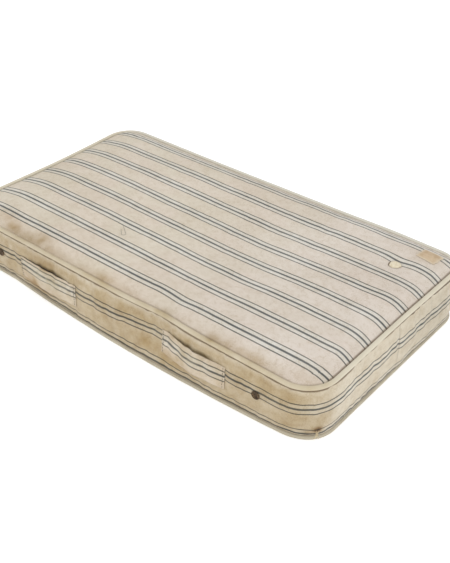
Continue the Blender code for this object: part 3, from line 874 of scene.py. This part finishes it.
def patch(top):
    """A thin plain patch, its edges a little ragged and pressed into the cloth below."""
    u, v = even_grid(-0.5, 0.5, PATCH_COLUMNS, -0.5, 0.5, PATCH_ROWS)
    flat = np.stack((u, v, 0 * u), -1)
    along = PATCH_LENGTH * u * (1 + 0.05 * soft_noise(flat * (0.02, 1, 1), 0.16))
    across = PATCH_WIDTH * v * (1 + 0.08 * soft_noise(flat * (1, 0.02, 1) + 4.0, 0.18))
    x = PATCH_X + along * math.cos(PATCH_TURN) - across * math.sin(PATCH_TURN) + ORIGIN_SHIFT[0]
    y = PATCH_Y + along * math.sin(PATCH_TURN) + across * math.cos(PATCH_TURN) + ORIGIN_SHIFT[1]
    z = found(top, x, y)
    edge = np.minimum(0.5 - np.abs(u), 0.5 - np.abs(v)) * PATCH_WIDTH
    puff = soft_noise(flat, 0.22, 2) * 0.0004
    inner = np.maximum(evened(z, 6) + 0.0009 + puff, z + SHEET_CLEARANCE)
    thick = PATCH_THICKNESS * (0.5 + 0.5 * rising(edge, 0, 0.004))
    made = sheet_object("faded_patch", x, y, inner, inner + thick, upright=False)
    set_values(made, "edge", np.tile(edge.ravel(), 2))
    return made


# Materials

class Graph:
    """Short ways to wire the nodes of one material."""

    def __init__(self, name):
        self.material = bpy.data.materials.new(name)
        self.material.use_nodes = True
        self.tree = self.material.node_tree
        self.shader = self.tree.nodes["Principled BSDF"]

    def node(self, kind, inputs=None, **settings):
        made = self.tree.nodes.new("ShaderNode" + kind)
        for key, value in settings.items():
            setattr(made, key, value)
        for key, value in (inputs or {}).items():
            self.join(value, made.inputs[key])
        return made

    def join(self, value, socket):
        if isinstance(value, bpy.types.NodeSocket):
            self.tree.links.new(value, socket)
        else:
            socket.default_value = value

    def math(self, operation, first, second=0.0):
        return self.node("Math", {0: first, 1: second}, operation=operation).outputs[0]

    def rest(self, value):
        """What is left of 1."""
        return self.math("SUBTRACT", 1.0, value)

    def times(self, *values):
        total = values[0]
        for value in values[1:]:
            total = self.math("MULTIPLY", total, value)
        return total

    def plus(self, *values):
        total = values[0]
        for value in values[1:]:
            total = self.math("ADD", total, value)
        return total

    def value(self, name):
        return self.node("Attribute", attribute_name=name).outputs["Fac"]

    def noise(self, scale, detail=2.0, vector=None, roughness=0.5):
        place = vector or self.node("TexCoord").outputs["Object"]
        inputs = {"Vector": place, "Scale": scale, "Detail": detail, "Roughness": roughness}
        return self.node("TexNoise", inputs).outputs["Fac"]

    def ramp(self, value, low, high):
        """0 below low, 1 above high, smooth between."""
        made = self.node("MapRange", {0: value, 1: low, 2: high}, interpolation_type="SMOOTHSTEP")
        return made.outputs[0]

    def mix(self, share, first, second, blend="MIX"):
        made = self.node("Mix", data_type="RGBA", blend_type=blend)
        for value, socket in ((share, 0), (first, 6), (second, 7)):
            if isinstance(value, tuple):
                value = (*value, 1.0)
            self.join(value, made.inputs[socket])
        return made.outputs[2]

    def line(self, distance, centre, half, soft):
        """1 within half of centre, fading over soft."""
        off = self.math("ABSOLUTE", self.math("SUBTRACT", distance, centre))
        return self.rest(self.ramp(off, half - soft, half + soft))

    def dirty_and_shaded(self, colour, patchy):
        """The stains and painted shade that each vertex carries, broken up by patchy."""
        for kind, tint in zip(DIRT_AND_SHADE_KINDS, DIRT_AND_SHADE_TINTS):
            share = self.math("MINIMUM", self.times(self.value(kind), patchy), 0.95)
            colour = self.mix(share, colour, tint, "MULTIPLY")
        return colour

    def bump(self, height, strength, distance):
        made = self.node("Bump", {"Height": height, "Strength": strength, "Distance": distance})
        self.join(made.outputs[0], self.shader.inputs["Normal"])

    def finish(self, colour, roughness, specular=0.25, sheen=0.0):
        self.join(colour, self.shader.inputs["Base Color"])
        self.join(roughness, self.shader.inputs["Roughness"])
        self.shader.inputs["Specular IOR Level"].default_value = specular
        if sheen:
            self.shader.inputs["Sheen Weight"].default_value = sheen
            self.shader.inputs["Sheen Roughness"].default_value = 0.6
        return self.material


def srgb(red, green, blue):
    """A colour given as 0 to 255 screen values, as linear light."""
    shares = [channel / 255 for channel in (red, green, blue)]
    return tuple(s / 12.92 if s <= 0.04045 else ((s + 0.055) / 1.055) ** 2.4 for s in shares)


# Colours as they look under the scene's light
GROUND = srgb(221, 211, 196)
BORDER_GROUND = srgb(219, 210, 192)
PINKISH = srgb(224, 212, 199)
GREENISH = srgb(217, 209, 191)
COOL_GROUND = srgb(224, 215, 208)
WHITE_BAND = srgb(221, 220, 213)
WORN_BAND = srgb(214, 214, 200)
LINE_BLUE = srgb(62, 69, 72)
THIN_BLUE = srgb(74, 77, 74)
SEAM_SHADOW = srgb(104, 84, 60)
TONE_TINT = srgb(205, 190, 165)
MOTTLE_TINT = srgb(208, 190, 160)
GRAIN_TINT = srgb(226, 219, 206)
# Kinds, tints and shares of the stains and painted shade that each vertex carries
DIRT_AND_SHADE_KINDS = ("soil_and_shade", "grey", "rust")
DIRT_AND_SHADE_TINTS = (srgb(209, 190, 151), srgb(152, 143, 116), srgb(196, 150, 98))
DIRT_AND_SHADE_SHARES = np.array((0.85, 0.40, 0.90))
WELT_TINTS = (srgb(208, 200, 181), srgb(194, 185, 162))
LOWER_WELT_TINTS = (srgb(208, 200, 182), srgb(190, 181, 162))
FAR_WELT_SHADE_TINT = srgb(214, 213, 205)
PATCH_TINTS = (srgb(198, 177, 148), srgb(180, 156, 126))
PATCH_EDGE = srgb(207, 195, 173)
FELT_TINTS = (srgb(224, 214, 190), srgb(203, 188, 158))
BRASS_TINTS = (srgb(62, 50, 38), srgb(122, 98, 70))
DARK_THREAD = (srgb(70, 60, 46), srgb(96, 84, 66))
GREY_THREAD = (srgb(128, 126, 116), srgb(158, 154, 140))
PALE_THREAD = (srgb(214, 200, 170), srgb(188, 168, 132))
FLOOR_TINTS = (srgb(250, 250, 250), srgb(248, 248, 248))
FLOOR_GLOW = 0.30
WEAVE_SPACING = 0.0022

# How the front, the far right end and the welts are darkened: soil, grey and painted shade on the front
# border, the back half of the right end's border greyer, soil on the front of the top welt, and painted shade
# greying the far top welt and the bottom welt
FRONT_SOIL_AND_SHADE = 0.62
FRONT_GREY = 0.09
FAR_RIGHT_GREY = 0.20
WELT_SOIL = 0.30
WELT_BACK_SHADE = 0.10
LOWER_WELT_SHADE = 0.45


def woven_stripes(g, across, colour, weaker):
    """The woven lines: a white band with a thin line along each edge and a thick one in its middle."""
    along = g.value("along")
    place = g.node("CombineXYZ", {0: along, 1: across, 2: 0.0}).outputs[0]
    wander = g.times(g.plus(g.noise(260.0, 2.0, place), -0.5), 0.0009)
    turns = g.math("DIVIDE", g.plus(across, wander), STRIPE_PITCH)
    part = g.math("SUBTRACT", turns, g.math("ROUND", turns))
    distance = g.times(g.math("ABSOLUTE", part), STRIPE_PITCH)
    band = g.line(distance, 0.0, THIN_LINE_OFFSET, 0.0006)
    thick = g.line(distance, 0.0, THICK_LINE_HALF, 0.0013)
    thin = g.line(distance, THIN_LINE_OFFSET, THIN_LINE_HALF, 0.0007)
    fade = g.plus(g.times(g.ramp(g.noise(9.0, 3.0), 0.2, 0.8), 0.14), 0.86)
    strands = g.plus(g.times(g.noise(900.0, 1.0, place), 0.16), 0.88)
    colour = g.mix(g.times(band, g.math("SUBTRACT", 0.62, weaker)), colour, WHITE_BAND)
    colour = g.mix(g.times(thick, fade, strands), colour, LINE_BLUE)
    return g.mix(g.times(thin, fade, strands), colour, THIN_BLUE)


def tuft_shade(g, colour, border):
    """A thin dark ring where the tuft sinks in, strongest on its left."""
    place = g.node("SeparateXYZ", {0: g.node("TexCoord").outputs["Object"]}).outputs
    off_x = g.math("SUBTRACT", place[0], TUFT_X + ORIGIN_SHIFT[0])
    off_y = g.math("SUBTRACT", place[1], TUFT_Y + ORIGIN_SHIFT[1])
    far = g.math("SQRT", g.plus(g.times(off_x, off_x), g.times(off_y, off_y)))
    left = g.rest(g.ramp(g.plus(off_x, g.times(off_y, -0.25)), -0.016, 0.004))
    ring_line = g.times(g.line(far, TUFT_RADIUS + 0.0012, 0.0022, 0.0018), g.plus(g.times(left, 0.75), 0.20))
    return g.mix(g.times(ring_line, g.rest(border)), colour, SEAM_SHADOW)


def seam_shade(g, colour, border):
    """Dark lines under the top welt and over the bottom one."""
    rise = g.value("rise")
    under_welt = g.ramp(rise, BORDER_TOP - 0.0050, BORDER_TOP - 0.0016)
    over_welt = g.rest(g.ramp(rise, BORDER_BOTTOM + 0.0005, BORDER_BOTTOM + 0.0030))
    seam = g.times(g.math("MAXIMUM", under_welt, g.times(over_welt, 0.5)), border)
    return g.mix(g.times(seam, 0.80), colour, SEAM_SHADOW)


def fold_shade(g, colour, border):
    """A dark line where the top panel meets its welt."""
    beside_welt = g.rest(g.ramp(g.value("rise"), PANEL_EDGE_HEIGHT + 0.0010, PANEL_EDGE_HEIGHT + 0.0032))
    groove_shade = g.times(beside_welt, g.value("groove_shade"), g.rest(border))
    return g.mix(g.times(groove_shade, g.plus(g.times(g.noise(24.0, 3.0), 0.5), 0.45)), colour, SEAM_SHADOW)


def ticking(name, joint=None, strap_wear=False):
    """Worn twill ticking: woven lines, a fine diagonal weave, and the stains and painted shade that each
    vertex carries.
    """
    g = Graph(name)
    across = g.value("stripe")
    along = g.value("along")
    border = g.value("border")
    hue = g.ramp(g.noise(6.5, 2.0), 0.38, 0.62)
    ground = g.mix(0.45, GROUND, g.mix(hue, GREENISH, PINKISH))
    cool = g.times(g.ramp(along, -0.20, 0.60), g.rest(border), 0.65)
    ground = g.mix(cool, ground, COOL_GROUND)
    ground = g.mix(border, ground, BORDER_GROUND)
    colour = woven_stripes(g, across, ground, g.times(border, 0.28))
    if strap_wear:
        worn = g.times(g.value("worn"), g.ramp(g.noise(40.0, 4.0), 0.25, 0.6))
        colour = g.mix(g.times(worn, 0.62), colour, WORN_BAND)
    tone = g.ramp(g.noise(4.2, 4.0), 0.30, 0.75)
    colour = g.mix(g.times(tone, 0.22), colour, TONE_TINT, "MULTIPLY")
    mottle = g.ramp(g.noise(30.0, 5.0, roughness=0.6), 0.42, 0.75)
    strength = g.plus(g.times(border, 0.22), 0.12)
    colour = g.mix(g.times(mottle, strength), colour, MOTTLE_TINT, "MULTIPLY")
    grain = g.times(g.ramp(g.noise(340.0, 2.0), 0.35, 0.65), g.ramp(g.noise(70.0, 3.0), 0.2, 0.8))
    colour = g.mix(g.times(grain, 0.85), colour, GRAIN_TINT, "MULTIPLY")
    colour = g.dirty_and_shaded(colour, g.plus(g.times(g.noise(19.0, 5.0, roughness=0.66), 1.7), 0.15))
    colour = seam_shade(g, colour, border)
    diagonal = g.times(g.plus(along, g.times(across, 1.7)), 2 * math.pi / WEAVE_SPACING)
    threads = g.times(g.math("SINE", diagonal), 0.5)
    cloth = g.plus(threads, g.times(g.noise(420.0, 3.0), 1.6), g.times(g.noise(60.0, 4.0), 3.0))
    if joint is not None:
        colour = fold_shade(g, colour, border)
        # Painted shade: a dark line along the crease at the joint
        crease_shade = g.times(g.line(along, joint, 0.0009, 0.0007), border)
        colour = g.mix(g.times(crease_shade, 0.65), colour, SEAM_SHADOW)
        cloth = g.math("SUBTRACT", cloth, g.times(g.line(along, joint, 0.0012, 0.0010), border, 6.0))
        colour = tuft_shade(g, colour, border)
    weave = g.plus(g.times(threads, 0.05), 0.97)
    weave = g.node("CombineColor", {0: weave, 1: weave, 2: weave}).outputs[0]
    colour = g.mix(1.0, colour, weave, "MULTIPLY")
    g.bump(cloth, 0.45, 0.0006)
    return g.finish(colour, 0.93, sheen=0.12)


def plain_cloth(name, tints):
    """Plain soiled cotton: the welts' strip, greyed with painted shade on the far top welt and the bottom
    welt.
    """
    g = Graph(name)
    worn = g.ramp(g.noise(16.0, 5.0, roughness=0.6), 0.35, 0.72)
    colour = g.mix(g.times(worn, 0.35), *tints)
    # Painted shade: the far top welt turned a paler grey
    colour = g.mix(g.times(g.value("far_welt_shade"), 0.75), colour, FAR_WELT_SHADE_TINT)
    colour = g.dirty_and_shaded(colour, g.plus(g.times(g.noise(23.0, 4.0), 1.2), 0.4))
    g.bump(g.plus(g.times(g.noise(380.0, 3.0), 1.5), g.times(g.noise(70.0, 3.0), 2.0)), 0.5, 0.0006)
    return g.finish(colour, 0.94, sheen=0.1)


def patch_material():
    """Faded tan cloth, blotched, worn through to the ticking's colour at its edges."""
    g = Graph("faded_patch_cloth")
    colour = g.mix(g.ramp(g.noise(45.0, 5.0, roughness=0.65), 0.35, 0.68), *PATCH_TINTS)
    bare = g.rest(g.ramp(g.plus(g.value("edge"), g.times(g.noise(110.0, 3.0), 0.007)), 0.002, 0.012))
    colour = g.mix(g.times(bare, 0.75), colour, PATCH_EDGE)
    g.bump(g.plus(g.noise(500.0, 3.0), g.times(g.noise(90.0, 4.0), 2.0)), 0.5, 0.0005)
    return g.finish(colour, 0.95, sheen=0.08)


def felt_material():
    """Yellowed cotton felt with a fuzzy, slightly stained surface."""
    g = Graph("yellowed_felt")
    colour = g.mix(g.ramp(g.noise(130.0, 5.0, roughness=0.65), 0.35, 0.70), *FELT_TINTS)
    g.bump(g.plus(g.noise(900.0, 4.0), g.times(g.noise(260.0, 3.0), 2.0)), 0.7, 0.0006)
    return g.finish(colour, 0.97, sheen=0.25)


def thread_material(name, tints):
    g = Graph(name)
    g.bump(g.noise(1500.0, 2.0), 0.6, 0.0002)
    return g.finish(g.mix(g.noise(160.0, 2.0), *tints), 0.85)


def floor_material():
    """Pale floor with a faint glow, which keeps the shadow on it light."""
    g = Graph("pale_floor")
    g.shader.inputs["Emission Color"].default_value = (1.0, 1.0, 1.0, 1.0)
    g.shader.inputs["Emission Strength"].default_value = FLOOR_GLOW
    return g.finish(g.mix(g.noise(2.0, 2.0), *FLOOR_TINTS), 1.0, specular=0.0)


def metal_material():
    """Tarnished brass gone dark brown, brighter where it is rubbed."""
    g = Graph("tarnished_brass")
    rub = g.ramp(g.noise(420.0, 4.0), 0.42, 0.7)
    g.shader.inputs["Metallic"].default_value = 0.7
    g.bump(g.noise(700.0, 3.0), 0.4, 0.0003)
    return g.finish(g.mix(rub, *BRASS_TINTS), g.plus(g.times(rub, -0.15), 0.6), specular=0.5)


def use(obj, material):
    obj.data.materials.clear()
    obj.data.materials.append(material)
    for polygon in obj.data.polygons:
        polygon.material_index = 0


# Floor, light and camera

LIGHTS = (
    {"name": "key_light", "place": (2.3, -1.7, 2.9), "size": 2.6, "power": 36.0},
    {"name": "fill_light", "place": (-1.8, -1.6, 2.6), "size": 2.6, "power": 12.0},
)
ROOM_LIGHT = 0.88
FLOOR_REACH = 30.0
FLOOR_DROP = -0.0005


def make_stage():
    sides = ((-1, -1), (1, -1), (1, 1), (-1, 1))
    corners = [(x * FLOOR_REACH, y * FLOOR_REACH, FLOOR_DROP) for x, y in sides]
    floor = plain_object("floor", corners, [(0, 1, 2, 3)])
    use(floor, floor_material())
    world = bpy.data.worlds.new("soft_room")
    world.use_nodes = True
    world.node_tree.nodes["Background"].inputs["Color"].default_value = (1.0, 1.0, 1.0, 1.0)
    world.node_tree.nodes["Background"].inputs["Strength"].default_value = ROOM_LIGHT
    bpy.context.scene.world = world
    for spec in LIGHTS:
        lamp = bpy.data.lights.new(spec["name"], "AREA")
        lamp.size = spec["size"]
        lamp.energy = spec["power"]
        light = bpy.data.objects.new(spec["name"], lamp)
        light.location = spec["place"]
        aim = Vector((0, 0, 0.1)) - Vector(spec["place"])
        light.rotation_euler = aim.to_track_quat("-Z", "Y").to_euler()
        bpy.context.scene.collection.objects.link(light)


def make_camera():
    data = bpy.data.cameras.new("camera")
    data.lens = CAMERA_LENS
    data.sensor_width = CAMERA_SENSOR
    camera = bpy.data.objects.new("camera", data)
    place = Matrix.Translation(CAMERA_PLACE)
    for angle, axis in (
        (CAMERA_YAW - math.pi / 2, "Z"),
        (math.pi / 2 - CAMERA_PITCH, "X"),
        (CAMERA_ROLL, "Z"),
    ):
        place = place @ Matrix.Rotation(angle, 4, axis)
    camera.matrix_world = place
    bpy.context.scene.collection.objects.link(camera)
    bpy.context.scene.camera = camera


def dress(piece, material, node=None):
    """Gives a piece its finish and the body it rides on, and hides the CAD node that it stands for."""
    use(piece, material)
    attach(piece, "root")
    if node is not None:
        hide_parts(node)


def make_case():
    """The case with its wrinkles and stains, the front border soiled and darkened with painted shade, and
    painted shade in the slits behind the straps and the groove beside the top welt.
    """
    case, held, joint = case_mesh()
    set_points(case, get_points(case) + ORIGIN_SHIFT)
    pucker(case, held)
    subdivide(case)
    crumple(case)
    dirt_and_shade(case)
    x, y, z = get_points(case).T
    front_side = rising(-y, 0.27, 0.10)
    below = rising(-z, -BORDER_TOP, 0.02)
    far_right = rising(x, 0.62, 0.04) * rising(y, -0.05, 0.25)
    # Soil and painted shade: the front border browner all along
    add_value(case, "soil_and_shade", FRONT_SOIL_AND_SHADE * front_side * below)
    # The front border greyer, partly painted shade, and the back half of the right end's border greyer
    shade = (FRONT_GREY * front_side + FAR_RIGHT_GREY * far_right) * below
    # Painted shade: a dark band just above each strap's top edge, where the slit behind the strap lies in
    # shade
    for spec in STRAPS:
        middle = (spec["from_x"] + spec["to_x"]) / 2
        off_x = (x - middle) / ((spec["to_x"] - spec["from_x"]) * 0.33)
        off_z = (z - spec["height"] - STRAP_WIDTH / 2 - 0.001) / 0.0050
        shade = shade + np.exp(-(off_x**4) - off_z**2) * front_side
    add_value(case, "grey", shade)
    # Painted shade in the groove beside the top welt: faint on the left of the front, stronger on its right
    # part, strongest at the right end
    groove_shade_front = front_side * rising(x, -0.20, 0.10)
    set_values(case, "groove_shade", np.maximum(0.12 * front_side + 0.40 * groove_shade_front, rising(x, 0.60, 0.06)))
    dress(case, ticking("ticking_cloth", joint), "ticking_case")
    return case


def make_welts():
    top = welt("top_welt_roll", TOP_WELT_HEIGHT, stand_out(1.0))
    bottom = welt("bottom_welt_roll", BOTTOM_WELT_HEIGHT, stand_out(0.0))
    for roll in (top, bottom):
        subdivide(roll)
        dirt_and_shade(roll)
    y = get_points(top)[:, 1]
    behind = rising(y, 0.33, 0.05)
    add_value(top, "soil_and_shade", WELT_SOIL * rising(-y, 0.28, 0.08))
    # Painted shade: the far top welt made greyer and paler
    add_value(top, "grey", WELT_BACK_SHADE * behind)
    set_values(top, "far_welt_shade", behind)
    # Painted shade: the whole bottom welt greyed
    add_value(bottom, "grey", LOWER_WELT_SHADE)
    set_values(bottom, "far_welt_shade", np.zeros(len(bottom.data.vertices)))
    dress(top, plain_cloth("welt_strip", WELT_TINTS), "top_welt")
    dress(bottom, plain_cloth("lower_welt_strip", LOWER_WELT_TINTS), "bottom_welt")


def make_fittings(case):
    wall = finder([case])[1]
    strap_cloth = ticking("strap_cloth", strap_wear=True)
    straps = []
    for spec in STRAPS:
        piece = strap(spec, wall)
        dress(piece, strap_cloth, spec["node"])
        straps.append(piece)
    top, front = finder([case] + straps)
    for piece, name, tints, slot in (
        (strap_stitches(front), "dark_thread", DARK_THREAD, "strap_ticking"),
        (mending_thread(top), "grey_thread", GREY_THREAD, "ticking"),
        (frayed_ends(), "pale_thread", PALE_THREAD, "ticking"),
    ):
        dress(piece, thread_material(name, tints))
    felt = tuft(top)
    dress(felt, felt_material(), "tuft_pad")
    cover = patch(top)
    dress(cover, patch_material(), "sewn_patch")
    metal = metal_material()
    for node in ("vent_left", "vent_right"):
        use(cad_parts[node], metal)


def main():
    bpy.context.scene.view_settings.view_transform = "Standard"
    make_camera()
    make_stage()
    case = make_case()
    make_welts()
    make_fittings(case)


main()
